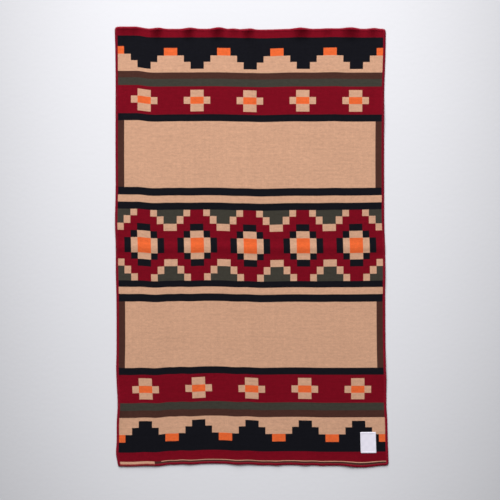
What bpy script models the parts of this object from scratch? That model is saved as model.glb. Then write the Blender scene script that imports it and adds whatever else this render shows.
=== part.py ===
"""Knitted throw blanket that lies flat, face up, with an overcast edge and a sewn-on label.

Metres, +Z up. The origin is the middle of the rectangle that the blanket covers, on the surface
that it lies on. +Y runs from the lower hem to the upper hem, and +X from the left side to the
right side.

The cloth is drawn in flat coordinates first: u from its left side and v from its lower hem. The
function laid turns a flat point into its place in the blanket as it lies, with its wavy outline,
its raised hem ripples and its two soft fold lines.
"""

import math
from typing import NamedTuple

import bmesh
import bpy

# Overall sizes
COVERED_WIDTH = 1.120
COVERED_LENGTH = 1.802
CLOTH_WIDTH = 1.080
CLOTH_LENGTH = 1.765
CLOTH_THICKNESS = 0.003
CORNER_RADIUS = 0.004
GAP = 0.0003
MILLIMETRE = 0.001

# Sewn-on label, placed by its middle in flat coordinates
LABEL_WIDTH = 0.063
LABEL_LENGTH = 0.086
LABEL_THICKNESS = 0.001
LABEL_MIDDLE = (1.0095, 0.0855)
LABEL_CELLS = (4, 5)

# Spacing of the panel's faces
HEM_STEP = 0.012
FIELD_STEP = 0.110
ROW_STEP = 0.048
SAME_COLUMN = 0.002
FIELD_MARGIN = (0.0, 0.022, 0.052, 0.090)
LOWER_HEM_ROWS = (0.0, CORNER_RADIUS, 0.016, 0.030, 0.044, 0.060, 0.100)
UPPER_HEM_ROWS = (0.0, CORNER_RADIUS, 0.014, 0.024, 0.035, 0.048, 0.080)


class SideStation(NamedTuple):
    """Inset of the left and right edges, in mm, at a flat height above the lower hem, in m."""

    up: float
    left: float
    right: float


class HemStation(NamedTuple):
    """Broad inset of one hem, in mm, at a flat distance from the left side, in m."""

    along: float
    inset: float


class Ripple(NamedTuple):
    """A raised wave that starts at an edge: its place and widths in m, the others in mm.

    The cloth stands up by the height at the edge, which it pushes outwards by the push. A wave
    with no height only draws the edge outwards.
    """

    along: float
    height: float
    push: float
    half_width: float
    reach: float


class Crease(NamedTuple):
    """A soft fold ridge: height in mm where it starts and ends, half width in m."""

    start_height: float
    end_height: float
    half_width: float


class Section(NamedTuple):
    """A point of the edging's cross section: out from the cloth and up, in mm."""

    out: float
    up: float


SIDES = (
    SideStation(up=0.006, left=11.6, right=0.0),
    SideStation(up=0.046, left=5.1, right=1.6),
    SideStation(up=0.095, left=7.5, right=3.4),
    SideStation(up=0.173, left=8.0, right=5.2),
    SideStation(up=0.242, left=11.8, right=8.9),
    SideStation(up=0.340, left=7.3, right=8.5),
    SideStation(up=0.389, left=5.8, right=10.6),
    SideStation(up=0.487, left=7.3, right=12.6),
    SideStation(up=0.683, left=6.5, right=13.8),
    SideStation(up=0.781, left=4.1, right=13.3),
    SideStation(up=0.883, left=4.1, right=14.3),
    SideStation(up=0.977, left=1.0, right=17.5),
    SideStation(up=1.123, left=3.5, right=18.1),
    SideStation(up=1.271, left=2.9, right=18.3),
    SideStation(up=1.418, left=3.3, right=17.8),
    SideStation(up=1.516, left=3.5, right=17.9),
    SideStation(up=1.662, left=2.4, right=13.2),
    SideStation(up=1.758, left=0.0, right=11.3),
)

UPPER_HEM = (
    HemStation(along=0.000, inset=0.0),
    HemStation(along=0.080, inset=0.0),
    HemStation(along=0.130, inset=7.3),
    HemStation(along=0.250, inset=8.2),
    HemStation(along=0.420, inset=8.2),
    HemStation(along=0.588, inset=11.4),
    HemStation(along=0.711, inset=8.2),
    HemStation(along=0.800, inset=8.2),
    HemStation(along=0.885, inset=6.3),
    HemStation(along=0.930, inset=8.2),
    HemStation(along=1.070, inset=8.2),
)

LOWER_HEM = (
    HemStation(along=0.000, inset=3.8),
    HemStation(along=0.057, inset=3.6),
    HemStation(along=0.085, inset=5.2),
    HemStation(along=0.110, inset=6.4),
    HemStation(along=0.155, inset=5.4),
    HemStation(along=0.200, inset=11.0),
    HemStation(along=0.229, inset=11.2),
    HemStation(along=0.253, inset=13.4),
    HemStation(along=0.290, inset=12.0),
    HemStation(along=0.350, inset=15.6),
    HemStation(along=0.425, inset=15.2),
    HemStation(along=0.475, inset=11.8),
    HemStation(along=0.523, inset=12.6),
    HemStation(along=0.572, inset=9.2),
    HemStation(along=0.600, inset=9.2),
    HemStation(along=0.700, inset=10.2),
    HemStation(along=0.770, inset=9.4),
    HemStation(along=0.820, inset=7.6),
    HemStation(along=0.880, inset=7.4),
    HemStation(along=1.080, inset=8.2),
)

UPPER_RIPPLES = (
    Ripple(along=0.030, height=5.0, push=0.0, half_width=0.050, reach=0.050),
    Ripple(along=0.070, height=5.0, push=0.0, half_width=0.024, reach=0.040),
    Ripple(along=0.160, height=12.5, push=0.0, half_width=0.032, reach=0.042),
    Ripple(along=0.173, height=0.0, push=3.2, half_width=0.034, reach=0.042),
    Ripple(along=0.288, height=12.5, push=0.0, half_width=0.034, reach=0.042),
    Ripple(along=0.303, height=0.0, push=3.4, half_width=0.036, reach=0.042),
    Ripple(along=0.404, height=12.5, push=0.0, half_width=0.038, reach=0.044),
    Ripple(along=0.416, height=0.0, push=4.6, half_width=0.040, reach=0.044),
    Ripple(along=0.472, height=4.0, push=1.8, half_width=0.028, reach=0.036),
    Ripple(along=0.528, height=11.5, push=0.0, half_width=0.032, reach=0.042),
    Ripple(along=0.544, height=0.0, push=2.4, half_width=0.026, reach=0.042),
    Ripple(along=0.744, height=13.5, push=2.6, half_width=0.048, reach=0.046),
    Ripple(along=0.850, height=4.0, push=0.0, half_width=0.030, reach=0.036),
    Ripple(along=0.944, height=12.5, push=4.0, half_width=0.052, reach=0.044),
    Ripple(along=1.031, height=6.0, push=0.0, half_width=0.030, reach=0.038),
    Ripple(along=1.041, height=0.0, push=2.4, half_width=0.030, reach=0.038),
)

LOWER_RIPPLES = (
    Ripple(along=0.118, height=1.0, push=0.0, half_width=0.060, reach=0.080),
    Ripple(along=0.275, height=1.2, push=0.0, half_width=0.036, reach=0.050),
    Ripple(along=0.485, height=1.8, push=0.4, half_width=0.056, reach=0.050),
    Ripple(along=0.636, height=1.0, push=1.6, half_width=0.034, reach=0.050),
    Ripple(along=0.748, height=1.2, push=1.8, half_width=0.038, reach=0.050),
    Ripple(along=0.817, height=0.0, push=1.2, half_width=0.022, reach=0.050),
    Ripple(along=0.930, height=1.5, push=0.0, half_width=0.050, reach=0.050),
    Ripple(along=0.980, height=0.0, push=7.8, half_width=0.095, reach=0.050),
)

LEFT_RIPPLES = (
    Ripple(along=0.242, height=3.0, push=0.0, half_width=0.090, reach=0.080),
    Ripple(along=0.977, height=3.0, push=0.0, half_width=0.100, reach=0.085),
    Ripple(along=1.453, height=2.0, push=0.0, half_width=0.120, reach=0.070),
)

RIGHT_RIPPLES = (
    Ripple(along=0.387, height=3.0, push=0.0, half_width=0.110, reach=0.080),
    Ripple(along=0.763, height=2.5, push=0.0, half_width=0.100, reach=0.080),
    Ripple(along=1.418, height=3.0, push=0.0, half_width=0.110, reach=0.085),
)

# The lengthwise crease starts at the lower hem and the crosswise crease at the left side
LENGTHWISE_CREASE = Crease(start_height=1.0, end_height=2.4, half_width=0.030)
CROSSWISE_CREASE = Crease(start_height=2.0, end_height=2.0, half_width=0.030)
CREASE_LINES = (-1.0, -0.45, 0.0, 0.45, 1.0)

EDGING_SECTION = (
    Section(out=0.3, up=0.0),
    Section(out=0.3, up=3.5),
    Section(out=3.2, up=4.3),
    Section(out=7.4, up=3.9),
    Section(out=9.8, up=2.0),
    Section(out=8.6, up=0.0),
)
EDGING_REACH = max(point.out for point in EDGING_SECTION) * MILLIMETRE
CORNER_TURNS = (math.radians(45.0), math.radians(22.5))


def clamped(value, lowest, highest):
    """Returns the value, held between its limits."""
    return min(max(value, lowest), highest)


def smooth_through(places, values, place):
    """Reads a smooth curve that passes through the given values, flat past its two ends."""
    place = clamped(place, places[0], places[-1])
    last = len(places) - 1
    index = next(i for i in range(last) if place <= places[i + 1])
    span = places[index + 1] - places[index]
    part = (place - places[index]) / span

    def slope(i):
        before, after = max(i - 1, 0), min(i + 1, last)
        return (values[after] - values[before]) / (places[after] - places[before])

    start, end = values[index], values[index + 1]
    start_slope, end_slope = slope(index) * span, slope(index + 1) * span
    return (
        start
        + start_slope * part
        + (3.0 * (end - start) - 2.0 * start_slope - end_slope) * part ** 2
        + (2.0 * (start - end) + start_slope + end_slope) * part ** 3
    )


def inset_at(table, column, place):
    """Reads one column of an edge table at a place along the edge, in m and never below zero."""
    places = [row[0] for row in table]
    values = [getattr(row, column) for row in table]
    return max(0.0, smooth_through(places, values, place)) * MILLIMETRE


def bell(distance):
    """Returns 1 at no distance, 0 from a distance of 1 on, with a soft foot and crest."""
    return 0.5 + 0.5 * math.cos(math.pi * min(abs(distance), 1.0))


def curl(distance):
    """Returns 1 at no distance, 0 from a distance of 1 on, steepest where it starts."""
    return 1.0 - math.sin(0.5 * math.pi * min(abs(distance), 1.0))


def rippled(ripples, column, along, depth):
    """Adds up one column of an edge's ripples, along the edge and in from it, in mm."""
    return sum(
        getattr(ripple, column)
        * bell((along - ripple.along) / ripple.half_width)
        * curl(depth / ripple.reach)
        for ripple in ripples
    )


def crease_lift(crease, along, across):
    """Returns a crease's height: along runs from 0 to 1 down it, and across is off its line."""
    height = crease.start_height + (crease.end_height - crease.start_height) * along
    return height * bell(across / crease.half_width)


def lift(u, v):
    """Returns how far the cloth's underside is raised off the surface, in m."""
    total = rippled(UPPER_RIPPLES, "height", u, CLOTH_LENGTH - v)
    total += rippled(LOWER_RIPPLES, "height", u, v)
    total += rippled(LEFT_RIPPLES, "height", v, u)
    total += rippled(RIGHT_RIPPLES, "height", v, CLOTH_WIDTH - u)
    total += crease_lift(LENGTHWISE_CREASE, v / CLOTH_LENGTH, u - CLOTH_WIDTH / 2.0)
    total += crease_lift(CROSSWISE_CREASE, u / CLOTH_WIDTH, v - CLOTH_LENGTH / 2.0)
    return total * MILLIMETRE


def laid(u, v, above=0.0):
    """Places a flat point in the blanket as it lies, at a height above the cloth's underside.

    A point past the cloth's edge, such as one of the edging, keeps its distance from that edge.
    """
    inner_u = clamped(u, 0.0, CLOTH_WIDTH)
    inner_v = clamped(v, 0.0, CLOTH_LENGTH)
    left = -COVERED_WIDTH / 2.0 + EDGING_REACH + inset_at(SIDES, "left", inner_v)
    right = COVERED_WIDTH / 2.0 - EDGING_REACH - inset_at(SIDES, "right", inner_v)
    low = -COVERED_LENGTH / 2.0 + EDGING_REACH + inset_at(LOWER_HEM, "inset", inner_u)
    high = COVERED_LENGTH / 2.0 - EDGING_REACH - inset_at(UPPER_HEM, "inset", inner_u)
    push = rippled(UPPER_RIPPLES, "push", inner_u, CLOTH_LENGTH - inner_v)
    push -= rippled(LOWER_RIPPLES, "push", inner_u, inner_v)
    return (
        left + (right - left) * inner_u / CLOTH_WIDTH + u - inner_u,
        low + (high - low) * inner_v / CLOTH_LENGTH + v - inner_v + push * MILLIMETRE,
        lift(inner_u, inner_v) + above,
    )


def evenly(start, end, step):
    """Lists values from start to end, spaced as near to the step as fits."""
    count = max(1, round((end - start) / step))
    return [start + (end - start) * i / count for i in range(count + 1)]


def hem_columns():
    """Lists the close columns of faces that the rippled hems need."""
    return [0.0, *evenly(CORNER_RADIUS, CLOTH_WIDTH - CORNER_RADIUS, HEM_STEP), CLOTH_WIDTH]


def field_columns():
    """Lists the wide columns of the flat field, closer at its sides and its crease."""
    middle = CLOTH_WIDTH / 2.0
    half = LENGTHWISE_CREASE.half_width
    crease = [middle + half * line for line in CREASE_LINES]
    left = [*FIELD_MARGIN[:-1], *evenly(FIELD_MARGIN[-1], crease[0], FIELD_STEP)[:-1]]
    right = [CLOTH_WIDTH - u for u in reversed(left)]
    return [*left, *crease, *right]


def row_heights():
    """Lists the rows' flat heights from the lower hem to the upper hem."""
    middle = CLOTH_LENGTH / 2.0
    half = CROSSWISE_CREASE.half_width
    crease = [middle + half * line for line in CREASE_LINES]
    upper_hem = [CLOTH_LENGTH - depth for depth in reversed(UPPER_HEM_ROWS)]
    below = evenly(LOWER_HEM_ROWS[-1], crease[0], ROW_STEP)[1:-1]
    above = evenly(crease[-1], upper_hem[0], ROW_STEP)[1:-1]
    return [*LOWER_HEM_ROWS, *below, *crease, *above, *upper_hem]


def with_round_corner(u, v):
    """Moves a corner point of the flat cloth in, onto its corner arc."""
    if u in (0.0, CLOTH_WIDTH) and v in (0.0, CLOTH_LENGTH):
        inward = CORNER_RADIUS * (1.0 - math.sqrt(0.5))
        return (abs(u - inward), abs(v - inward))
    return (u, v)


def panel_rows():
    """Lists the panel's rows of flat points, each from left to right."""
    rows = []
    for v in row_heights():
        in_hem = v <= LOWER_HEM_ROWS[-2] or v >= CLOTH_LENGTH - UPPER_HEM_ROWS[-2]
        columns = hem_columns() if in_hem else field_columns()
        rows.append([with_round_corner(u, v) for u in columns])
    return rows


def between_rows(near, far):
    """Lists the faces between two rows of flat points, as (row, index) corners.

    Where both rows have a point at the next column a face has four sides, and elsewhere three.
    """
    faces = []
    i = j = 0
    while i < len(near) - 1 or j < len(far) - 1:
        next_near = near[i + 1][0] if i < len(near) - 1 else math.inf
        next_far = far[j + 1][0] if j < len(far) - 1 else math.inf
        if math.isclose(next_near, next_far, abs_tol=SAME_COLUMN):
            faces.append(((0, i), (0, i + 1), (1, j + 1), (1, j)))
            i += 1
            j += 1
        elif next_near < next_far:
            faces.append(((0, i), (0, i + 1), (1, j)))
            i += 1
        else:
            faces.append(((0, i), (1, j + 1), (1, j)))
            j += 1
    return faces


def closed_sheet(rows, thickness, rest=0.0):
    """Builds a closed sheet over rows of flat points, resting at a height over the underside."""
    mesh = bmesh.new()
    lower = [[mesh.verts.new(laid(u, v, rest)) for u, v in row] for row in rows]
    upper = [[mesh.verts.new(laid(u, v, rest + thickness)) for u, v in row] for row in rows]
    for index in range(len(rows) - 1):
        for face in between_rows(rows[index], rows[index + 1]):
            mesh.faces.new([upper[index + row][i] for row, i in face])
            mesh.faces.new([lower[index + row][i] for row, i in reversed(face)])

    def around(layer):
        right = [row[-1] for row in layer[1:-1]]
        left = [row[0] for row in layer[-2:0:-1]]
        return [*layer[0], *right, *reversed(layer[-1]), *left]

    low_rim, high_rim = around(lower), around(upper)
    for i in range(len(low_rim)):
        after = (i + 1) % len(low_rim)
        mesh.faces.new((low_rim[i], low_rim[after], high_rim[after], high_rim[i]))
    return mesh


def label_rows():
    """Lists the label's rows of flat points, from its lower left corner."""
    left = LABEL_MIDDLE[0] - LABEL_WIDTH / 2.0
    low = LABEL_MIDDLE[1] - LABEL_LENGTH / 2.0
    across, along = LABEL_CELLS
    return [
        [(left + LABEL_WIDTH * i / across, low + LABEL_LENGTH * j / along) for i in range(across + 1)]
        for j in range(along + 1)
    ]


class Edge(NamedTuple):
    """One side of the flat cloth, followed anticlockwise: its start, direction and stations."""

    start: tuple
    along: tuple
    outward: tuple
    stations: list


def edges():
    """Returns the four sides of the flat cloth by the name of the edging that runs along them."""
    columns = [u for u in hem_columns() if CORNER_RADIUS <= u <= CLOTH_WIDTH - CORNER_RADIUS]
    heights = [v for v in row_heights() if CORNER_RADIUS <= v <= CLOTH_LENGTH - CORNER_RADIUS]
    back = [CLOTH_WIDTH - u for u in reversed(columns)]
    down = [CLOTH_LENGTH - v for v in reversed(heights)]
    width, length = CLOTH_WIDTH, CLOTH_LENGTH
    return {
        "edging_bottom": Edge((0.0, 0.0), (1.0, 0.0), (0.0, -1.0), columns),
        "edging_right": Edge((width, 0.0), (0.0, 1.0), (1.0, 0.0), heights),
        "edging_top": Edge((width, length), (-1.0, 0.0), (0.0, 1.0), back),
        "edging_left": Edge((0.0, length), (0.0, -1.0), (-1.0, 0.0), down),
    }


def edging_sections(edge):
    """Lists the edging's sections along one side: each a flat base point and outward direction.

    A section leans back by its turn at the first corner and forward at the last. The base point
    is one corner radius in from the cloth's edge, where a corner's arc has its centre. The two
    end sections stand half a gap short of the corners' diagonals.
    """
    places = [(edge.stations[0], -turn) for turn in CORNER_TURNS]
    places += [(station, 0.0) for station in edge.stations]
    places += [(edge.stations[-1], turn) for turn in reversed(CORNER_TURNS)]
    sections = []
    for station, turn in places:
        level, lean = math.cos(turn), math.sin(turn)
        outward = [edge.outward[k] * level + edge.along[k] * lean for k in (0, 1)]
        travel = [edge.along[k] * level - edge.outward[k] * lean for k in (0, 1)]
        short = -math.copysign(GAP / 2.0, turn) if abs(turn) == CORNER_TURNS[0] else 0.0
        base = [
            edge.start[k] + edge.along[k] * station - edge.outward[k] * CORNER_RADIUS + travel[k] * short
            for k in (0, 1)
        ]
        sections.append((base, outward))
    return sections


def edging_strip(edge):
    """Builds the edging of one side as a bead that follows the cloth's edge."""
    mesh = bmesh.new()
    rings = []
    for base, outward in edging_sections(edge):
        ring = []
        for point in EDGING_SECTION:
            reach = CORNER_RADIUS + point.out * MILLIMETRE
            u, v = base[0] + outward[0] * reach, base[1] + outward[1] * reach
            ring.append(mesh.verts.new(laid(u, v, point.up * MILLIMETRE)))
        rings.append(ring)
    count = len(EDGING_SECTION)
    for first, second in zip(rings, rings[1:]):
        for i in range(count):
            after = (i + 1) % count
            mesh.faces.new((first[i], first[after], second[after], second[i]))
    mesh.faces.new(rings[0])
    mesh.faces.new(list(reversed(rings[-1])))
    return mesh


def material(name, colour, roughness):
    """Makes a plain textile material from a linear colour."""
    made = bpy.data.materials.new(name)
    made.use_nodes = True
    shader = made.node_tree.nodes["Principled BSDF"]
    shader.inputs["Base Color"].default_value = (*colour, 1.0)
    shader.inputs["Roughness"].default_value = roughness
    shader.inputs["Metallic"].default_value = 0.0
    made.diffuse_color = (*colour, 1.0)
    return made


def add_object(name, mesh, finish):
    """Adds a finished mesh to the scene as one named object."""
    bmesh.ops.recalc_face_normals(mesh, faces=mesh.faces)
    data = bpy.data.meshes.new(name)
    mesh.to_mesh(data)
    mesh.free()
    data.materials.append(finish)
    bpy.context.scene.collection.objects.link(bpy.data.objects.new(name, data))


def build():
    """Clears the scene and builds the blanket, its edging and its label."""
    for leftover in list(bpy.data.objects):
        bpy.data.objects.remove(leftover, do_unlink=True)
    knit = material("tan knitted cotton", (0.636, 0.381, 0.258), 0.95)
    yarn = material("red overcast yarn", (0.180, 0.006, 0.015), 0.90)
    satin = material("white woven tape", (0.730, 0.720, 0.800), 0.70)
    add_object("blanket", closed_sheet(panel_rows(), CLOTH_THICKNESS), knit)
    for name, edge in edges().items():
        add_object(name, edging_strip(edge), yarn)
    label = closed_sheet(label_rows(), LABEL_THICKNESS, rest=CLOTH_THICKNESS + GAP)
    add_object("label", label, satin)


build()
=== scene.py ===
"""Looks of a knitted throw blanket that lies flat, with overcast edges and a sewn-on label.

The cloth is drawn in flat coordinates, u from its left side and v from its lower hem, in metres.
The class Lay turns a flat point into its place in the blanket as it lies, and every piece is put
down through it, so that cloth, edging and label share one set of folds.
"""

import logging
import math
from collections.abc import Iterable, Sequence
from dataclasses import dataclass, field
from enum import Enum

import bmesh
import bpy
import numpy as np
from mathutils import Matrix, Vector


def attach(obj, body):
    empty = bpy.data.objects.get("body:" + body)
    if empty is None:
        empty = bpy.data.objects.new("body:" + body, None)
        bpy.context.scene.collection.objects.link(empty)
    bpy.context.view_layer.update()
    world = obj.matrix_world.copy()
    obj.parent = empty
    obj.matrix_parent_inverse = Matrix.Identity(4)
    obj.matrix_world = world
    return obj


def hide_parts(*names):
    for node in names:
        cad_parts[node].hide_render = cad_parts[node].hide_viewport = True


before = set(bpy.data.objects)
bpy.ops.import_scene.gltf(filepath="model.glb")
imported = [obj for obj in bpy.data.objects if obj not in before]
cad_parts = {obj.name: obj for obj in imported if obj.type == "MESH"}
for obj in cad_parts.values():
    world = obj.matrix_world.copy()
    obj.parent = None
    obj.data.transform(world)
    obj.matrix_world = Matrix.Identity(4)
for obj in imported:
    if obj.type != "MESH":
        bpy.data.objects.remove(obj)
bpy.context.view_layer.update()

LOG = logging.getLogger("blanket")
BODY = "root"
FLAT_UV = "flat"
REVERSE = "reverse"
MM = 0.001
WELD = 0.001 * MM

Array = np.ndarray
Colour = tuple[float, float, float]
Point = tuple[float, float, float]


def bell(distance: Array) -> Array:
    """Returns 1 at no distance and 0 from a distance of 1 on, with a soft foot and crest."""
    return 0.5 + 0.5 * np.cos(np.pi * np.minimum(np.abs(distance), 1.0))


def curl(distance: Array) -> Array:
    """Returns 1 at no distance and 0 from a distance of 1 on, steepest where it starts."""
    return 1.0 - np.sin(0.5 * np.pi * np.minimum(np.abs(distance), 1.0))


@dataclass(frozen=True)
class Contour:
    """A smooth curve through a short table, flat past its two ends.

    Args:
        rows: Pairs of a place in metres and a value in millimetres.
    """

    rows: tuple[tuple[float, float], ...]

    def at(self, place: Array) -> Array:
        """Reads the curve.

        Args:
            place: Places in metres.

        Returns:
            The values there, in metres.
        """
        places = np.array([row[0] for row in self.rows])
        values = np.array([row[1] for row in self.rows])
        place = np.clip(place, places[0], places[-1])
        index = np.clip(np.searchsorted(places, place, side="left") - 1, 0, len(places) - 2)
        before = np.maximum(np.arange(len(places)) - 1, 0)
        after = np.minimum(np.arange(len(places)) + 1, len(places) - 1)
        slopes = (values[after] - values[before]) / (places[after] - places[before])
        span = places[index + 1] - places[index]
        part = (place - places[index]) / span
        start, end = values[index], values[index + 1]
        rise, fall = slopes[index] * span, slopes[index + 1] * span
        square = 3.0 * (end - start) - 2.0 * rise - fall
        cube = 2.0 * (start - end) + rise + fall
        return (start + rise * part + square * part ** 2 + cube * part ** 3) * MM


@dataclass(frozen=True)
class Ripple:
    """A raised wave that starts at an edge.

    Args:
        along: Its place along the edge, in metres.
        height: How high the cloth stands at the edge, in millimetres.
        push: How far it pushes the edge outwards, in millimetres.
        half_width: Half its width along the edge, in metres.
        reach: How far it reaches into the cloth, in metres.
    """

    along: float
    height: float
    push: float
    half_width: float
    reach: float

    def share(self, along: Array, depth: Array) -> Array:
        """Returns the ripple's share, from 0 to 1, at places along the edge and in from it."""
        return bell((along - self.along) / self.half_width) * curl(depth / self.reach)


@dataclass(frozen=True)
class Crease:
    """A soft fold ridge.

    Args:
        start_height: Its height where it starts, in millimetres.
        end_height: Its height where it ends, in millimetres.
        half_width: Half its width, in metres.
    """

    start_height: float
    end_height: float
    half_width: float

    def height(self, along: Array, across: Array) -> Array:
        """Returns the ridge's height in mm: along is from 0 to 1 down it, across is off it."""
        crest = self.start_height + (self.end_height - self.start_height) * along
        return crest * bell(across / self.half_width)


@dataclass(frozen=True)
class Lay:
    """How the flat cloth lies: its wavy outline, hem ripples, fold lines and bowed courses.

    Args:
        covered: Width and length that it covers with its edging, in metres, as all sizes are.
        cloth: Width and length of the flat cloth.
        thickness: The cloth's thickness.
        corner: Radius of its corners.
        edging: How far the edging stands out from it.
        left: How far in its left side lies, by the height up the cloth.
        right: How far in its right side lies.
        upper: How far in its upper hem lies, by the distance from the left side.
        lower: How far in its lower hem lies.
        bow: How far the courses sag at mid width, by the height.
        upper_ripples: The waves that start at the upper hem.
        lower_ripples: The waves that start at the lower hem.
        left_ripples: The waves that start at the left side.
        right_ripples: The waves that start at the right side.
        lengthwise: The fold ridge that runs up the middle.
        crosswise: The fold ridge that runs across the middle.
    """

    covered: tuple[float, float] = (1.120, 1.802)
    cloth: tuple[float, float] = (1.080, 1.765)
    thickness: float = 0.003
    corner: float = 0.004
    edging: float = 0.0098
    left: Contour = Contour((
        (0.006, 11.6), (0.046, 5.1), (0.095, 7.5), (0.173, 8.0), (0.242, 11.8), (0.340, 7.3),
        (0.389, 5.8), (0.487, 7.3), (0.683, 6.5), (0.781, 4.1), (0.883, 4.1), (0.977, 1.0),
        (1.123, 3.5), (1.271, 2.9), (1.418, 3.3), (1.516, 3.5), (1.662, 2.4), (1.758, 0.0),
    ))
    right: Contour = Contour((
        (0.006, 0.0), (0.046, 1.6), (0.095, 3.4), (0.173, 5.2), (0.242, 8.9), (0.340, 8.5),
        (0.389, 10.6), (0.487, 12.6), (0.683, 13.8), (0.781, 13.3), (0.883, 14.3), (0.977, 17.5),
        (1.123, 18.1), (1.271, 18.3), (1.418, 17.8), (1.516, 17.9), (1.662, 13.2), (1.758, 11.3),
    ))
    upper: Contour = Contour((
        (0.000, 0.0), (0.080, 0.0), (0.130, 7.3), (0.250, 8.2), (0.420, 8.2), (0.588, 11.4),
        (0.711, 8.2), (0.800, 8.2), (0.885, 6.3), (0.930, 8.2), (1.070, 8.2),
    ))
    lower: Contour = Contour((
        (0.000, 3.8), (0.057, 3.6), (0.085, 5.2), (0.110, 6.4), (0.155, 5.4), (0.200, 11.0),
        (0.229, 11.2), (0.253, 13.4), (0.290, 12.0), (0.350, 15.6), (0.425, 15.2), (0.475, 11.8),
        (0.523, 12.6), (0.572, 9.2), (0.600, 9.2), (0.700, 10.2), (0.770, 9.4), (0.820, 7.6),
        (0.880, 7.4), (1.080, 8.2),
    ))
    bow: Contour = Contour((
        (0.000, 0.0), (0.400, 1.0), (0.640, 2.2), (0.750, 3.8), (0.995, 5.6), (1.270, 0.3),
        (1.765, 0.0),
    ))
    upper_ripples: tuple[Ripple, ...] = (
        Ripple(0.030, 5.0, 0.0, 0.050, 0.050),
        Ripple(0.070, 5.0, 0.0, 0.024, 0.040),
        Ripple(0.160, 12.5, 0.0, 0.032, 0.042),
        Ripple(0.173, 0.0, 3.2, 0.034, 0.042),
        Ripple(0.288, 12.5, 0.0, 0.034, 0.042),
        Ripple(0.303, 0.0, 3.4, 0.036, 0.042),
        Ripple(0.404, 12.5, 0.0, 0.038, 0.044),
        Ripple(0.416, 0.0, 4.6, 0.040, 0.044),
        Ripple(0.472, 4.0, 1.8, 0.028, 0.036),
        Ripple(0.528, 11.5, 0.0, 0.032, 0.042),
        Ripple(0.544, 0.0, 2.4, 0.026, 0.042),
        Ripple(0.744, 13.5, 2.6, 0.048, 0.046),
        Ripple(0.850, 4.0, 0.0, 0.030, 0.036),
        Ripple(0.944, 12.5, 4.0, 0.052, 0.044),
        Ripple(1.031, 6.0, 0.0, 0.030, 0.038),
        Ripple(1.041, 0.0, 2.4, 0.030, 0.038),
    )
    lower_ripples: tuple[Ripple, ...] = (
        Ripple(0.118, 1.0, 0.0, 0.060, 0.080),
        Ripple(0.275, 1.2, 0.0, 0.036, 0.050),
        Ripple(0.485, 1.8, 0.4, 0.056, 0.050),
        Ripple(0.636, 1.0, 1.6, 0.034, 0.050),
        Ripple(0.748, 1.2, 1.8, 0.038, 0.050),
        Ripple(0.817, 0.0, 1.2, 0.022, 0.050),
        Ripple(0.930, 1.5, 0.0, 0.050, 0.050),
        Ripple(0.980, 0.0, 7.8, 0.095, 0.050),
    )
    left_ripples: tuple[Ripple, ...] = (
        Ripple(0.242, 3.0, 0.0, 0.090, 0.080),
        Ripple(0.977, 3.0, 0.0, 0.100, 0.085),
        Ripple(1.453, 2.0, 0.0, 0.120, 0.070),
    )
    right_ripples: tuple[Ripple, ...] = (
        Ripple(0.387, 3.0, 0.0, 0.110, 0.080),
        Ripple(0.763, 2.5, 0.0, 0.100, 0.080),
        Ripple(1.418, 3.0, 0.0, 0.110, 0.085),
    )
    lengthwise: Crease = Crease(start_height=1.0, end_height=2.4, half_width=0.030)
    crosswise: Crease = Crease(start_height=2.0, end_height=2.0, half_width=0.030)

    def lift(self, u: Array, v: Array) -> Array:
        """Finds how far the cloth's underside is raised off the surface.

        Args:
            u: Distances from the left side.
            v: Distances from the lower hem.

        Returns:
            The heights, in metres.
        """
        width, length = self.cloth
        total = self.lengthwise.height(v / length, u - width / 2.0)
        total = total + self.crosswise.height(u / width, v - length / 2.0)
        for ripples, along, depth in (
            (self.upper_ripples, u, length - v),
            (self.lower_ripples, u, v),
            (self.left_ripples, v, u),
            (self.right_ripples, v, width - u),
        ):
            for ripple in ripples:
                total = total + ripple.height * ripple.share(along, depth)
        return total * MM

    def push(self, u: Array, v: Array) -> Array:
        """Finds how far the hems' ripples push flat points towards the upper hem.

        Args:
            u: Distances from the left side.
            v: Distances from the lower hem.

        Returns:
            The distances, in metres.
        """
        total = np.zeros_like(u)
        for ripple in self.upper_ripples:
            total = total + ripple.push * ripple.share(u, self.cloth[1] - v)
        for ripple in self.lower_ripples:
            total = total - ripple.push * ripple.share(u, v)
        return total * MM

    def place(self, u: Array, v: Array, above: Array | float = 0.0) -> Array:
        """Places flat points in the blanket as it lies.

        Args:
            u: Distances from the left side. A point past an edge keeps its distance from it.
            v: Distances from the lower hem.
            above: Heights above the cloth's underside.

        Returns:
            The points, one row each.
        """
        u, v = np.asarray(u, float), np.asarray(v, float)
        width, length = self.cloth
        inner_u, inner_v = np.clip(u, 0.0, width), np.clip(v, 0.0, length)
        left = -self.covered[0] / 2.0 + self.edging + np.maximum(self.left.at(inner_v), 0.0)
        right = self.covered[0] / 2.0 - self.edging - np.maximum(self.right.at(inner_v), 0.0)
        low = -self.covered[1] / 2.0 + self.edging + np.maximum(self.lower.at(inner_u), 0.0)
        high = self.covered[1] / 2.0 - self.edging - np.maximum(self.upper.at(inner_u), 0.0)
        across = 2.0 * inner_u / width - 1.0
        sag = self.bow.at(inner_v) * (1.0 - across ** 2)
        x = left + (right - left) * inner_u / width + u - inner_u
        y = low + (high - low) * inner_v / length + v - inner_v + self.push(inner_u, inner_v) - sag
        return np.stack([x, y, self.lift(inner_u, inner_v) + above], axis=-1)


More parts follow.
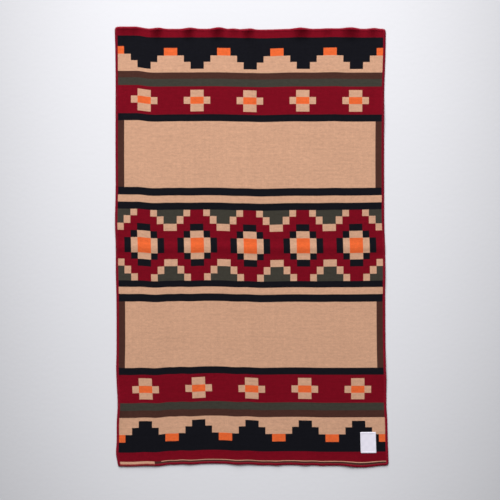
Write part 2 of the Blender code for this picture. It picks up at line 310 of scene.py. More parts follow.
class Signal:
    """A shader socket that Python's operators work on."""

    def __init__(self, net: "NodeNet", socket: bpy.types.NodeSocket) -> None:
        """Wraps one output socket of a net."""
        self.net = net
        self.socket = socket

    def __add__(self, other: "Signal | float") -> "Signal":
        """Returns the sum."""
        return self.net.math("ADD", self, other)

    __radd__ = __add__

    def __sub__(self, other: "Signal | float") -> "Signal":
        """Returns the difference."""
        return self.net.math("SUBTRACT", self, other)

    def __rsub__(self, other: float) -> "Signal":
        """Returns the difference from a number."""
        return self.net.math("SUBTRACT", other, self)

    def __mul__(self, other: "Signal | float") -> "Signal":
        """Returns the product."""
        return self.net.math("MULTIPLY", self, other)

    __rmul__ = __mul__

    def __truediv__(self, other: "Signal | float") -> "Signal":
        """Returns the quotient."""
        return self.net.math("DIVIDE", self, other)

    def __pow__(self, other: float) -> "Signal":
        """Returns the power."""
        return self.net.math("POWER", self, other)

    def __abs__(self) -> "Signal":
        """Returns the size without its sign."""
        return self.net.math("ABSOLUTE", self)

    def __gt__(self, other: "Signal | float") -> "Signal":
        """Returns 1 where this is the larger, and else 0."""
        return self.net.math("GREATER_THAN", self, other)

    def __lt__(self, other: "Signal | float") -> "Signal":
        """Returns 1 where this is the smaller, and else 0."""
        return self.net.math("LESS_THAN", self, other)

    def whole(self) -> "Signal":
        """Returns the whole number below."""
        return self.net.math("FLOOR", self)

    def part(self) -> "Signal":
        """Returns what is left above the whole number below."""
        return self.net.math("FRACT", self)

    def sine(self) -> "Signal":
        """Returns the sine of an angle in radians."""
        return self.net.math("SINE", self)

    def strayed(self, noise: "Signal", spread: float) -> "Signal":
        """Adds a noise about 0.5, with this much between its lowest and its highest."""
        return self + (noise - 0.5) * spread


Value = Signal | float | int | Sequence[float] | bpy.types.ID


class NodeNet:
    """Adds nodes to one tree and links them."""

    def __init__(self, tree: bpy.types.NodeTree) -> None:
        """Takes the tree over, empty."""
        self.tree = tree
        tree.nodes.clear()

    def add(
        self,
        kind: str,
        settings: dict[str, object] | None = None,
        inputs: dict[str | int, Value] | None = None,
    ) -> bpy.types.Node:
        """Adds one node.

        Args:
            kind: The node's type.
            settings: Its own settings, which are made first.
            inputs: A value or a signal for each socket, by its name or index.

        Returns:
            The node.
        """
        node = self.tree.nodes.new(kind)
        for name, value in (settings or {}).items():
            if name == "stops":
                self._set_stops(node.color_ramp, value)
            else:
                setattr(node, name, value)
        for name, value in (inputs or {}).items():
            socket = node.inputs[name]
            if isinstance(value, Signal):
                self.tree.links.new(value.socket, socket)
            else:
                socket.default_value = value
        return node

    def signal(
        self,
        kind: str,
        settings: dict[str, object] | None = None,
        inputs: dict[str | int, Value] | None = None,
        output: str | int = 0,
    ) -> Signal:
        """Adds one node, as add does, and returns one of its outputs."""
        return Signal(self, self.add(kind, settings, inputs).outputs[output])

    @staticmethod
    def _set_stops(ramp: bpy.types.ColorRamp, stops: Iterable[tuple[float, Colour]]) -> None:
        """Fills a ramp with hard-edged stops.

        Args:
            ramp: The ramp.
            stops: For each colour its place, from 0 to 1, and the colour.
        """
        ramp.interpolation = "CONSTANT"
        while len(ramp.elements) > 1:
            ramp.elements.remove(ramp.elements[-1])
        for index, (place, colour) in enumerate(stops):
            element = ramp.elements[0] if index == 0 else ramp.elements.new(place)
            element.position = place
            element.color = (*colour, 1.0)

    def math(self, operation: str, *values: Signal | float) -> Signal:
        """Adds a Math node on its values."""
        return self.signal("ShaderNodeMath", {"operation": operation}, dict(enumerate(values)))

    def vector(self, x: Value = 0.0, y: Value = 0.0, z: Value = 0.0) -> Signal:
        """Joins three values into a vector."""
        return self.signal("ShaderNodeCombineXYZ", None, {"X": x, "Y": y, "Z": z})

    def axes(self, vector: Signal) -> tuple[Signal, Signal, Signal]:
        """Parts a vector into its three values."""
        node = self.add("ShaderNodeSeparateXYZ", None, {0: vector})
        return tuple(Signal(self, node.outputs[k]) for k in range(3))

    def mixed(self, share: Signal | float, first: Signal | Colour, second: Signal | Colour) -> Signal:
        """Blends two colours.

        Args:
            share: How much of the second colour there is, from 0 to 1.
            first: The colour at 0.
            second: The colour at 1.

        Returns:
            The blend.
        """
        both = [c if isinstance(c, Signal) else (*c, 1.0) for c in (first, second)]
        return self.signal(
            "ShaderNodeMix", {"data_type": "RGBA"}, {0: share, 6: both[0], 7: both[1]}, output=2
        )

    def scaled(self, vector: Signal | Colour, share: Signal) -> Signal:
        """Scales a vector, or a colour's brightness."""
        return self.signal(
            "ShaderNodeVectorMath", {"operation": "SCALE"}, {0: vector, "Scale": share}
        )

    def flat(self) -> Signal:
        """Adds the flat place, from the piece's own UV map."""
        return self.signal("ShaderNodeUVMap", {"uv_map": FLAT_UV})

    def where(self) -> Signal:
        """Adds the place on the piece, in metres."""
        return self.signal("ShaderNodeTexCoord", output="Object")

    def noise(self, where: Signal, scale: float, detail: float = 2.0) -> Signal:
        """Adds soft noise, about 0.5 in the mean."""
        return self.signal(
            "ShaderNodeTexNoise", None, {"Vector": where, "Scale": scale, "Detail": detail}
        )

    def dice(self, where: Signal) -> Signal:
        """Adds a random number from 0 to 1 for each place."""
        return self.signal("ShaderNodeTexWhiteNoise", {"noise_dimensions": "3D"}, {"Vector": where})


@dataclass(frozen=True)
class Finish:
    """A textile or floor surface.

    Args:
        name: The material's name.
        roughness: How matt it is.
        gloss: How much light its surface mirrors.
        relief: Depth of its bump, in metres.
    """

    name: str
    roughness: float = 0.95
    gloss: float = 0.03
    relief: float = 0.0005

    def paint(self, net: NodeNet) -> tuple[Signal, Signal]:
        """Returns the surface's colour, and the height from 0 to 1 that its bump follows."""
        raise NotImplementedError

    def material(self) -> bpy.types.Material:
        """Builds the material.

        Returns:
            The material, with its nodes linked.
        """
        made = bpy.data.materials.new(self.name)
        made.use_nodes = True
        net = NodeNet(made.node_tree)
        colour, height = self.paint(net)
        bump = net.signal(
            "ShaderNodeBump", None, {"Height": height, "Distance": self.relief, "Strength": 1.0}
        )
        shader = net.signal("ShaderNodeBsdfPrincipled", None, {
            "Base Color": colour,
            "Roughness": self.roughness,
            "Specular IOR Level": self.gloss,
            "Normal": bump,
        })
        net.add("ShaderNodeOutputMaterial", None, {"Surface": shader})
        return made


class Yarn(Enum):
    """The knit's yarns, by their letter in the chart, with their linear colours."""

    TAN = ("T", (0.664, 0.378, 0.247))
    BLACK = ("K", (0.0078, 0.0079, 0.0115))
    RED = ("R", (0.200, 0.0038, 0.0130))
    BROWN = ("B", (0.0720, 0.0290, 0.0220))
    OLIVE = ("G", (0.0520, 0.0480, 0.0380))
    ORANGE = ("O", (0.850, 0.145, 0.038))

    @property
    def colour(self) -> Colour:
        """The yarn's linear colour."""
        return self.value[1]

    @classmethod
    def of(cls, letter: str) -> "Yarn":
        """Returns the yarn that a letter of the chart stands for."""
        return next(yarn for yarn in cls if yarn.value[0] == letter)


@dataclass(frozen=True)
class ChartRow:
    """One row of the chart.

    Args:
        modules: How many modules high it is.
        motif: The yarns of half a motif, from its middle outwards.
        side: The yarn of the two outermost columns, or none where the motif runs on.
        back: The yarn that is carried behind, and shows in flecks on the reverse.
    """

    modules: float
    motif: str
    side: str = ""
    back: str = "T"


@dataclass(frozen=True)
class Chart:
    """The knit's design, mirrored about the middle of the cloth and of each motif.

    Args:
        stitch: Width of a stitch and height of a course, in metres.
        stitches: Stitches across and courses up one module.
        across: Modules across the cloth.
        repeat: Modules across a motif.
        middle: Height of the middle course above the lower hem, in metres.
        tan_start: Height of the tan starting courses at the lower hem, in metres.
        brown_start: Height of the brown courses within them.
        brown_from: Distance from the left side at which the brown courses begin.
        brown_block: Width over which they first fill all of the starting courses.
        rows: The rows from the middle outwards.
    """

    stitch: tuple[float, float] = (0.0027, 0.0023826)
    stitches: tuple[int, int] = (10, 12)
    across: int = 40
    repeat: int = 8
    middle: float = 0.8923
    tan_start: float = 0.0112
    brown_start: float = 0.0085
    brown_from: float = 0.1418
    brown_block: float = 0.0270
    rows: tuple[ChartRow, ...] = (
        ChartRow(1.0, "OTKR", back="K"),
        ChartRow(1.0, "TKRR", back="K"),
        ChartRow(1.0, "KRRT", back="K"),
        ChartRow(1.0, "RRTG", back="G"),
        ChartRow(1.0, "RTGG", back="G"),
        ChartRow(1.0, "KKKK"),
        ChartRow(1.0, "TTTT", back="K"),
        ChartRow(1.0, "KKKK"),
        ChartRow(9.5, "TTTT", side="B", back="B"),
        ChartRow(1.0, "KKKK"),
        ChartRow(0.5, "RRRR"),
        ChartRow(1.0, "TRRR"),
        ChartRow(1.0, "OTRR"),
        ChartRow(1.0, "TRRR"),
        ChartRow(0.5, "RRRR"),
        ChartRow(1.0, "GGGG", back="B"),
        ChartRow(1.0, "BBBB", back="G"),
        ChartRow(0.5, "TTTT", back="K"),
        ChartRow(1.0, "KTTT", back="K"),
        ChartRow(1.0, "KKTT", back="K"),
        ChartRow(1.0, "KKKO"),
        ChartRow(1.5, "KKKK"),
        ChartRow(1.5, "RRRR", back="K"),
    )

    @property
    def module(self) -> tuple[float, float]:
        """Width and height of a module, in metres."""
        return self.stitch[0] * self.stitches[0], self.stitch[1] * self.stitches[1]

    @property
    def reach(self) -> float:
        """Height of the charted half, in metres."""
        return sum(row.modules for row in self.rows) * self.module[1]

    def stops(self, letters: Sequence[str]) -> list[tuple[float, Colour]]:
        """Lists the colour changes up one column of the chart.

        Args:
            letters: The column's yarn in each row.

        Returns:
            Hard stops, each a place from 0 to 1 and a colour.
        """
        total = sum(row.modules for row in self.rows)
        found: list[tuple[float, Colour]] = []
        place, last = 0.0, ""
        for row, letter in zip(self.rows, letters):
            if letter != last:
                found.append((place / total, Yarn.of(letter).colour))
            place, last = place + row.modules, letter
        return found


@dataclass(frozen=True)
class KnitFinish(Finish):
    """Jacquard knit: a V for each stitch on the face, and flecked bars on the reverse.

    Args:
        chart: The design.
        lean: How far a stitch's legs rise from its middle to its sides, in courses.
        leg_crest: The power of the sine that rounds a leg across.
        loop_crest: The power of the sine that rounds a loop up its length.
        loop_foot: How high a leg stands where a loop ends, and is 1 at its middle.
        valley: How bright the knit is between its stitches, as painted shade in the hollows of its
            relief.
        fleck: How much darker every other stitch is.
        stitch_spread: How far the single stitches stray in brightness.
        streak: Scales of the short soft streaks across and up the cloth, and their spread.
        line: The same for the long streaks that follow the courses.
        rib_spread: How far the columns of stitches stray.
        patch: Scale and spread of the broad patches.
    """

    chart: Chart = Chart()
    lean: float = 0.55
    leg_crest: float = 0.6
    loop_crest: float = 0.5
    loop_foot: float = 0.45
    valley: float = 0.66
    fleck: float = 0.06
    stitch_spread: float = 0.10
    streak: tuple[float, float, float] = (58.0, 115.0, 0.30)
    line: tuple[float, float, float] = (7.0, 130.0, 0.14)
    rib_spread: float = 0.03
    patch: tuple[float, float] = (5.0, 0.06)

    def paint(self, net: NodeNet) -> tuple[Signal, Signal]:
        """Paints the knit.

        Args:
            net: The material's nodes.

        Returns:
            Its colour and its relief.
        """
        chart = self.chart
        flat = net.flat()
        u, v, _ = net.axes(flat)
        wale = u / chart.stitch[0]
        beside = abs(wale.part() * 2.0 - 1.0)
        course = v / chart.stitch[1] - beside * self.lean
        row, column = course.whole(), wale.whole()
        reverse = net.signal("ShaderNodeAttribute", {"attribute_name": REVERSE}, output="Fac")

        away = abs((row + 0.5 + self.lean / 2.0) * chart.stitch[1] - chart.middle) / chart.reach
        face = self.charted(net, (u / chart.module[0]).whole(), away)
        beyond = u - chart.brown_from
        stripe = (v < chart.brown_start) * (beyond > chart.brown_block)
        block = (beyond > 0.0) * (beyond < chart.brown_block)
        start = net.mixed(stripe + block, Yarn.TAN.colour, Yarn.BROWN.colour)
        face = net.mixed(v < chart.tan_start, face, start)
        carried = self.ramp(net, [row.back for row in chart.rows], away)
        fleck = ((row + column) / 2.0).part() * 2.0
        colour = net.mixed(reverse * fleck, face, carried)

        leg = (beside * math.pi).sine() ** self.leg_crest
        loop = (course.part() * math.pi).sine() ** self.loop_crest
        face_relief = leg * (self.loop_foot + (1.0 - self.loop_foot) * loop)
        bar = (wale.part() * math.pi).sine() * (course.part() * math.pi).sine()
        relief = face_relief * (1.0 - reverse) + bar * reverse

        # The third value of each vector below takes its pattern from another layer of the noise
        stitch = net.dice(net.vector(column, row, 1.0))
        streak = net.noise(net.vector(u * self.streak[0], v * self.streak[1], 2.0), 1.0)
        line = net.noise(net.vector(u * self.line[0], v * self.line[1], 5.0), 1.0, detail=1.0)
        rib = net.dice(net.vector(column, 0.0, 4.0))
        patch = net.noise(flat, self.patch[0], detail=3.0)
        # Darker between the stitches, where the relief is low: painted shade.
        tone = self.valley + (1.0 - self.valley) * relief - fleck * self.fleck
        for noise, spread in (
            (stitch, self.stitch_spread),
            (streak, self.streak[2]),
            (line, self.line[2]),
            (rib, self.rib_spread),
            (patch, self.patch[1]),
        ):
            tone = tone.strayed(noise, spread)
        return net.scaled(colour, tone), relief

    def charted(self, net: NodeNet, module: Signal, away: Signal) -> Signal:
        """Reads the chart.

        Args:
            net: The material's nodes.
            module: The number of the module, counted from the left side.
            away: How far from the middle course, from 0 to 1 at the chart's end.

        Returns:
            The yarn's colour.
        """
        chart = self.chart
        half = chart.repeat // 2
        in_motif = (module / chart.repeat).part() * chart.repeat
        off_middle = abs(in_motif - (chart.repeat - 1) / 2.0)
        columns = [[row.motif[k] for row in chart.rows] for k in range(half)]
        sides = [row.side or row.motif[-1] for row in chart.rows]
        ramps = [self.ramp(net, letters, away) for letters in [*columns, sides]]
        colour = ramps[0]
        for k in range(1, half):
            colour = net.mixed(off_middle > float(k), colour, ramps[k])
        from_middle = abs(module + 0.5 - chart.across / 2.0)
        return net.mixed(from_middle > chart.across / 2.0 - 1.0, colour, ramps[-1])

    def ramp(self, net: NodeNet, letters: Sequence[str], away: Signal) -> Signal:
        """Adds the colours of one column of the chart, from the middle outwards."""
        return net.signal("ShaderNodeValToRGB", {"stops": self.chart.stops(letters)}, {"Fac": away})


@dataclass(frozen=True)
class ThreadFinish(Finish):
    """Twisted yarn or thread that follows its own UV: x round it and y along it, in metres.

    Args:
        colour: Its linear colour.
        twist: Length of one turn of a ply, in metres.
        plies: How many plies lie round it.
        shade: How much darker it is between the plies, as painted shade.
        crest: The power of the sine that rounds a ply.
        fuzz: Scale of the fine fibres, their spread in brightness and their share of the relief.
        patch: Scale and spread of the uneven dye.
    """

    colour: Colour = Yarn.RED.colour
    twist: float = 0.0022
    plies: float = 2.0
    shade: float = 0.45
    crest: float = 0.6
    fuzz: tuple[float, float, float] = (900.0, 0.25, 0.4)
    patch: tuple[float, float] = (60.0, 0.3)

    def paint(self, net: NodeNet) -> tuple[Signal, Signal]:
        """Paints the thread.

        Args:
            net: The material's nodes.

        Returns:
            Its colour and its relief.
        """
        around, along, _ = net.axes(net.flat())
        turn = (around * self.plies + along / self.twist).part() * math.pi
        ply = abs(turn.sine()) ** self.crest
        where = net.where()
        fuzz = net.noise(where, self.fuzz[0], detail=3.0)
        patch = net.noise(where, self.patch[0], detail=2.0)
        # Darker between the plies: painted shade.
        tone = (1.0 - self.shade + self.shade * ply).strayed(fuzz, self.fuzz[1])
        tone = tone.strayed(patch, self.patch[1])
        return net.scaled(self.colour, tone), ply + fuzz * self.fuzz[2]


@dataclass(frozen=True)
class RolledEdgeFinish(Finish):
    """Knit that is rolled in under the overcast stitches: red, with tan where the knit starts, and
    painted shade under the stitches and between its ribs.

    Args:
        tan_to: The place to the left of which there is tan, in metres.
        tan_below: The place below which there is.
        tan_share: How much of the colour is tan there; the red in the rest darkens it as painted shade
            under the stitches.
        rib: Width of a rib, in metres.
        tone: How bright it is between its ribs, as painted shade, and how much brighter on them.
        grain: Scale and spread of the fine fibres.
    """

    tan_to: float = -0.394
    tan_below: float = -0.880
    tan_share: float = 0.40
    rib: float = 0.0024
    tone: tuple[float, float] = (0.75, 0.2)
    grain: tuple[float, float] = (700.0, 0.3)

    def paint(self, net: NodeNet) -> tuple[Signal, Signal]:
        """Paints the rolled knit.

        Args:
            net: The material's nodes.

        Returns:
            Its colour and its relief.
        """
        where = net.where()
        x, y, _ = net.axes(where)
        # The tan is mixed with red to darken it: painted shade under the stitches.
        start = (x < self.tan_to) * (y < self.tan_below) * self.tan_share
        colour = net.mixed(start, Yarn.RED.colour, Yarn.TAN.colour)
        bars = (x * (math.pi / self.rib)).sine() * (y * (math.pi / self.rib)).sine()
        relief = abs(bars) ** 0.5
        grain = net.noise(where, self.grain[0], detail=2.0)
        # Darker between the ribs: painted shade.
        tone = (self.tone[0] + self.tone[1] * relief).strayed(grain, self.grain[1])
        return net.scaled(colour, tone), relief


@dataclass(frozen=True)
class TapeFinish(Finish):
    """Smooth woven tape: close warp threads over fine weft.

    Args:
        colour: Its linear colour.
        warp: Width of a warp thread, in metres, and its share of the relief.
        weft: The same for a weft thread.
        tone: How bright it is between its threads, as painted shade, and how much brighter on them.
        soil: Scale and spread of the faint soiling.
        slub: Scales of the uneven threads across and along the tape, and their spread.
    """

    colour: Colour = (0.680, 0.660, 0.756)
    warp: tuple[float, float] = (0.00042, 0.7)
    weft: tuple[float, float] = (0.00060, 0.3)
    tone: tuple[float, float] = (0.90, 0.08)
    soil: tuple[float, float] = (55.0, 0.06)
    slub: tuple[float, float, float] = (900.0, 60.0, 0.06)

    def paint(self, net: NodeNet) -> tuple[Signal, Signal]:
        """Paints the tape.

        Args:
            net: The material's nodes.

        Returns:
            Its colour and its relief.
        """
        flat = net.flat()
        u, v, _ = net.axes(flat)
        warp = abs((u * (math.pi / self.warp[0])).sine())
        weft = abs((v * (math.pi / self.weft[0])).sine())
        relief = warp * self.warp[1] + weft * self.weft[1]
        soil = net.noise(flat, self.soil[0], detail=3.0)
        slub = net.noise(net.vector(u * self.slub[0], v * self.slub[1], 3.0), 1.0)
        # Darker between the threads: painted shade.
        tone = (self.tone[0] + self.tone[1] * relief).strayed(soil, self.soil[1])
        return net.scaled(self.colour, tone.strayed(slub, self.slub[2])), relief


@dataclass(frozen=True)
class FloorFinish(Finish):
    """Pale floor with a breath of unevenness, and a painted pool of light: palest round a middle and
    darker away from it.

    Args:
        colour: Its linear colour.
        middle: The middle of the painted pool of light, round which it is palest, in metres.
        fade: Distances from there at which the painted light starts and ends to fall off, and what is
            left then.
        length: How much longer than wide the pale part is.
        cloud: Scale and spread of the broad unevenness.
        grain: Scale and spread of the fine grain.
    """

    colour: Colour = (0.580, 0.587, 0.622)
    middle: tuple[float, float] = (0.0, 0.26)
    fade: tuple[float, float, float] = (0.50, 1.68, 0.60)
    length: float = 2.07
    cloud: tuple[float, float] = (1.3, 0.03)
    grain: tuple[float, float] = (60.0, 0.012)

    def paint(self, net: NodeNet) -> tuple[Signal, Signal]:
        """Paints the floor.

        Args:
            net: The material's nodes.

        Returns:
            Its colour and its relief.
        """
        where = net.where()
        cloud = net.noise(where, self.cloud[0], detail=3.0)
        grain = net.noise(where, self.grain[0], detail=3.0)
        x, y, _ = net.axes(where)
        # The floor darkens with distance from the middle: a painted pool of light.
        across, along = x - self.middle[0], (y - self.middle[1]) / self.length
        away = (across * across + along * along) ** 0.5
        start, end, left = self.fade
        painted_light_pool = net.signal(
            "ShaderNodeMapRange", {"interpolation_type": "SMOOTHSTEP"},
            {"Value": away, "From Min": start, "From Max": end, "To Min": 1.0, "To Max": left},
        )
        tone = painted_light_pool.strayed(cloud, self.cloud[1]).strayed(grain, self.grain[1])
        return net.scaled(self.colour, tone), grain


@dataclass
class Surface:
    """Points and faces that are gathered into one mesh, with a flat place for each point.

    Args:
        points: The points, one row each.
        flats: Their flat places, one row each.
        faces: The faces' corners.
        turned: For each face, 1 on the reverse of the cloth and else 0.
    """

    points: list[Point] = field(default_factory=list)
    flats: list[tuple[float, float]] = field(default_factory=list)
    faces: list[tuple[int, ...]] = field(default_factory=list)
    turned: list[float] = field(default_factory=list)

    def grid(self, places: Array, flats: Array) -> Array:
        """Adds a grid of points.

        Args:
            places: The points, indexed by row and column.
            flats: Their flat places, indexed in the same way.

        Returns:
            The points' numbers, indexed in the same way.
        """
        first = len(self.points)
        rows, columns = places.shape[:2]
        self.points += [tuple(p) for p in places.reshape(-1, 3)]
        self.flats += [tuple(p) for p in flats.reshape(-1, 2)]
        return first + np.arange(rows * columns).reshape(rows, columns)

    def face(self, corners: Iterable[int], turned: float = 0.0) -> None:
        """Adds one face, by the numbers of its corners."""
        self.faces.append(tuple(int(corner) for corner in corners))
        self.turned.append(turned)

    def skin(self, ids: Array, outward: bool = True, turned: float = 0.0) -> None:
        """Covers a grid with four-sided faces.

        Args:
            ids: The numbers of its points.
            outward: Whether the faces look up or outwards, and else down.
            turned: 1 on the reverse of the cloth.
        """
        for low, high in zip(ids, ids[1:]):
            for a, b, c, d in zip(low, low[1:], high[1:], high):
                self.face((a, b, c, d) if outward else (d, c, b, a), turned)

    def sheet(self, low: Array, high: Array, flats: Array, turned: float = 0.0) -> None:
        """Covers a closed sheet: its upper side, its underside and its rim.

        Args:
            low: The points of its underside, indexed by row and column.
            high: The points of its upper side, indexed in the same way.
            flats: The flat places of both.
            turned: 1 if its underside is the reverse of the cloth.
        """
        below, above = self.grid(low, flats), self.grid(high, flats)
        self.skin(above)
        self.skin(below, outward=False, turned=turned)
        rims = [
            np.concatenate([ids[0], ids[1:-1, -1], ids[-1, ::-1], ids[-2:0:-1, 0], ids[0, :1]])
            for ids in (below, above)
        ]
        self.skin(np.stack(rims))

    def tube(self, rings: Array, run: Array) -> None:
        """Covers a row of rings as a closed tube with flat ends.

        A ring ends where it starts, so that the flat places run on round it, and the two points
        are welded in the mesh.

        Args:
            rings: The rings' points, indexed by ring and by place round it.
            run: How far along the tube each ring is.
        """
        around = np.linspace(0.0, 1.0, rings.shape[1])
        ids = self.grid(rings, np.stack(np.broadcast_arrays(around, run[:, None]), axis=-1))
        self.skin(ids)
        self.face(ids[0, -2::-1])
        self.face(ids[-1, :-1])

    def mesh(self, name: str, sharp_above: float = 50.0) -> bpy.types.Mesh:
        """Makes the mesh.

        Args:
            name: The mesh's name.
            sharp_above: The angle in degrees above which an edge stays sharp.

        Returns:
            The mesh, with its flat UV and its reverse attribute.
        """
        mesh = bpy.data.meshes.new(name)
        mesh.from_pydata(self.points, [], self.faces)
        corners = np.zeros(len(mesh.loops), np.int32)
        mesh.loops.foreach_get("vertex_index", corners)
        layer = mesh.uv_layers.new(name=FLAT_UV)
        layer.uv.foreach_set("vector", np.array(self.flats, np.float32)[corners].ravel())
        turned = mesh.attributes.new(REVERSE, "FLOAT", "FACE")
        turned.data.foreach_set("value", np.array(self.turned, np.float32))
        welded = bmesh.new()
        welded.from_mesh(mesh)
        bmesh.ops.remove_doubles(welded, verts=welded.verts, dist=WELD)
        welded.to_mesh(mesh)
        welded.free()
        mesh.shade_smooth()
        mesh.set_sharp_from_angle(angle=math.radians(sharp_above))
        mesh.validate()
        return mesh


def shown(name: str, data: bpy.types.ID) -> bpy.types.Object:
    """Adds an object to the scene, at the origin.

    Args:
        name: Its name.
        data: Its mesh, light or camera.

    Returns:
        The object.
    """
    made = bpy.data.objects.new(name, data)
    bpy.context.scene.collection.objects.link(made)
    return made


def piece(name: str, mesh: bpy.types.Mesh, finish: bpy.types.Material) -> bpy.types.Object:
    """Adds a finished piece that rides on the blanket.

    Args:
        name: The piece's name.
        mesh: Its mesh, in place.
        finish: Its material.

    Returns:
        The piece.
    """
    mesh.materials.clear()
    mesh.materials.append(finish)
    made = shown(name, mesh)
    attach(made, BODY)
    LOG.info("%s: %d faces", name, len(mesh.polygons))
    return made


class StitchRun:
    """A Geometry Nodes tree that sets one stitch at every pitch along a line.

    The stitch's own Y runs along the line, its Z up and its X to the right of the line. At an
    unevenness of 1 a stitch turns by up to SWAY either way, in radians, and its size strays from 1
    by up to STRAY, each on its own X, Y and Z.
    """

    SWAY = (0.05, 0.05, 0.09)
    STRAY = (0.035, 0.06, 0.025)
    SOCKETS = (
        ("Line", "NodeSocketGeometry"),
        ("Stitch", "NodeSocketObject"),
        ("Pitch", "NodeSocketFloat"),
        ("Unevenness", "NodeSocketFloat"),
        ("Seed", "NodeSocketInt"),
        ("Finish", "NodeSocketMaterial"),
    )

    def __init__(self) -> None:
        """Builds the tree."""
        self.tree = bpy.data.node_groups.new("stitch_run", "GeometryNodeTree")
        for name, kind in self.SOCKETS:
            self.tree.interface.new_socket(name, in_out="INPUT", socket_type=kind)
        self.tree.interface.new_socket("Stitches", in_out="OUTPUT", socket_type="NodeSocketGeometry")
        net = NodeNet(self.tree)
        given = net.add("NodeGroupInput")
        value = {name: Signal(net, given.outputs[name]) for name, _ in self.SOCKETS}
        curve = net.signal("GeometryNodeMeshToCurve", None, {0: value["Line"]})
        spaced = net.signal(
            "GeometryNodeResampleCurve", {"mode": "LENGTH"},
            {"Curve": curve, "Length": value["Pitch"]},
        )
        facing = net.signal(
            "FunctionNodeAxesToRotation", {"primary_axis": "Y", "secondary_axis": "Z"},
            {0: net.signal("GeometryNodeInputTangent"), 1: (0.0, 0.0, 1.0)},
        )
        sway = self.random(net, value, self.SWAY, (0.0, 0.0, 0.0))
        turn = net.signal(
            "FunctionNodeRotateRotation", {"rotation_space": "LOCAL"}, {0: facing, 1: sway}
        )
        size = self.random(net, value, self.STRAY, (1.0, 1.0, 1.0))
        stitch = net.signal(
            "GeometryNodeObjectInfo", {"transform_space": "ORIGINAL"}, {0: value["Stitch"]},
            output="Geometry",
        )
        set_out = net.signal(
            "GeometryNodeInstanceOnPoints", None,
            {"Points": spaced, "Instance": stitch, "Rotation": turn, "Scale": size},
        )
        solid = net.signal("GeometryNodeRealizeInstances", None, {0: set_out})
        dressed = net.signal(
            "GeometryNodeSetMaterial", None, {"Geometry": solid, "Material": value["Finish"]}
        )
        net.add("NodeGroupOutput", None, {0: dressed})

    @staticmethod
    def random(net: NodeNet, value: dict[str, Signal], spread: Point, middle: Point) -> Signal:
        """Adds a random vector about a middle one.

        Args:
            net: The tree's nodes.
            value: The tree's inputs.
            spread: How far each axis strays either way at an unevenness of 1.
            middle: The middle vector.

        Returns:
            The random vector, another one for each stitch.
        """
        roll = net.signal(
            "FunctionNodeRandomValue", {"data_type": "FLOAT_VECTOR"},
            {"Min": tuple(-s for s in spread), "Max": spread, "Seed": value["Seed"]},
        )
        off = net.scaled(roll, value["Unevenness"])
        return net.signal("ShaderNodeVectorMath", {"operation": "ADD"}, {0: off, 1: middle})

    def sewn(
        self,
        name: str,
        line: Array,
        stitch: bpy.types.Mesh,
        values: dict[str, Value],
    ) -> bpy.types.Mesh:
        """Sews one run.

        Args:
            name: The name of the mesh.
            line: The points of the line, one row each.
            stitch: The mesh of one stitch.
            values: The tree's inputs by name, apart from the line and the stitch.

        Returns:
            The mesh of the whole run.
        """
        edges = [(i, i + 1) for i in range(len(line) - 1)]
        track = bpy.data.meshes.new(name)
        track.from_pydata([tuple(p) for p in line], edges, [])
        runner, sample = shown(name, track), shown(name + "_stitch", stitch)
        modifier = runner.modifiers.new("stitches", "NODES")
        modifier.node_group = self.tree
        keys = {item.name: item.identifier for item in self.tree.interface.items_tree
                if item.in_out == "INPUT"}
        for key, value in {**values, "Stitch": sample}.items():
            modifier[keys[key]] = value
        graph = bpy.context.evaluated_depsgraph_get()
        mesh = bpy.data.meshes.new_from_object(runner.evaluated_get(graph))
        runner.modifiers.clear()
        for made in (runner, sample):
            bpy.data.objects.remove(made)
        mesh.name = name
        return mesh


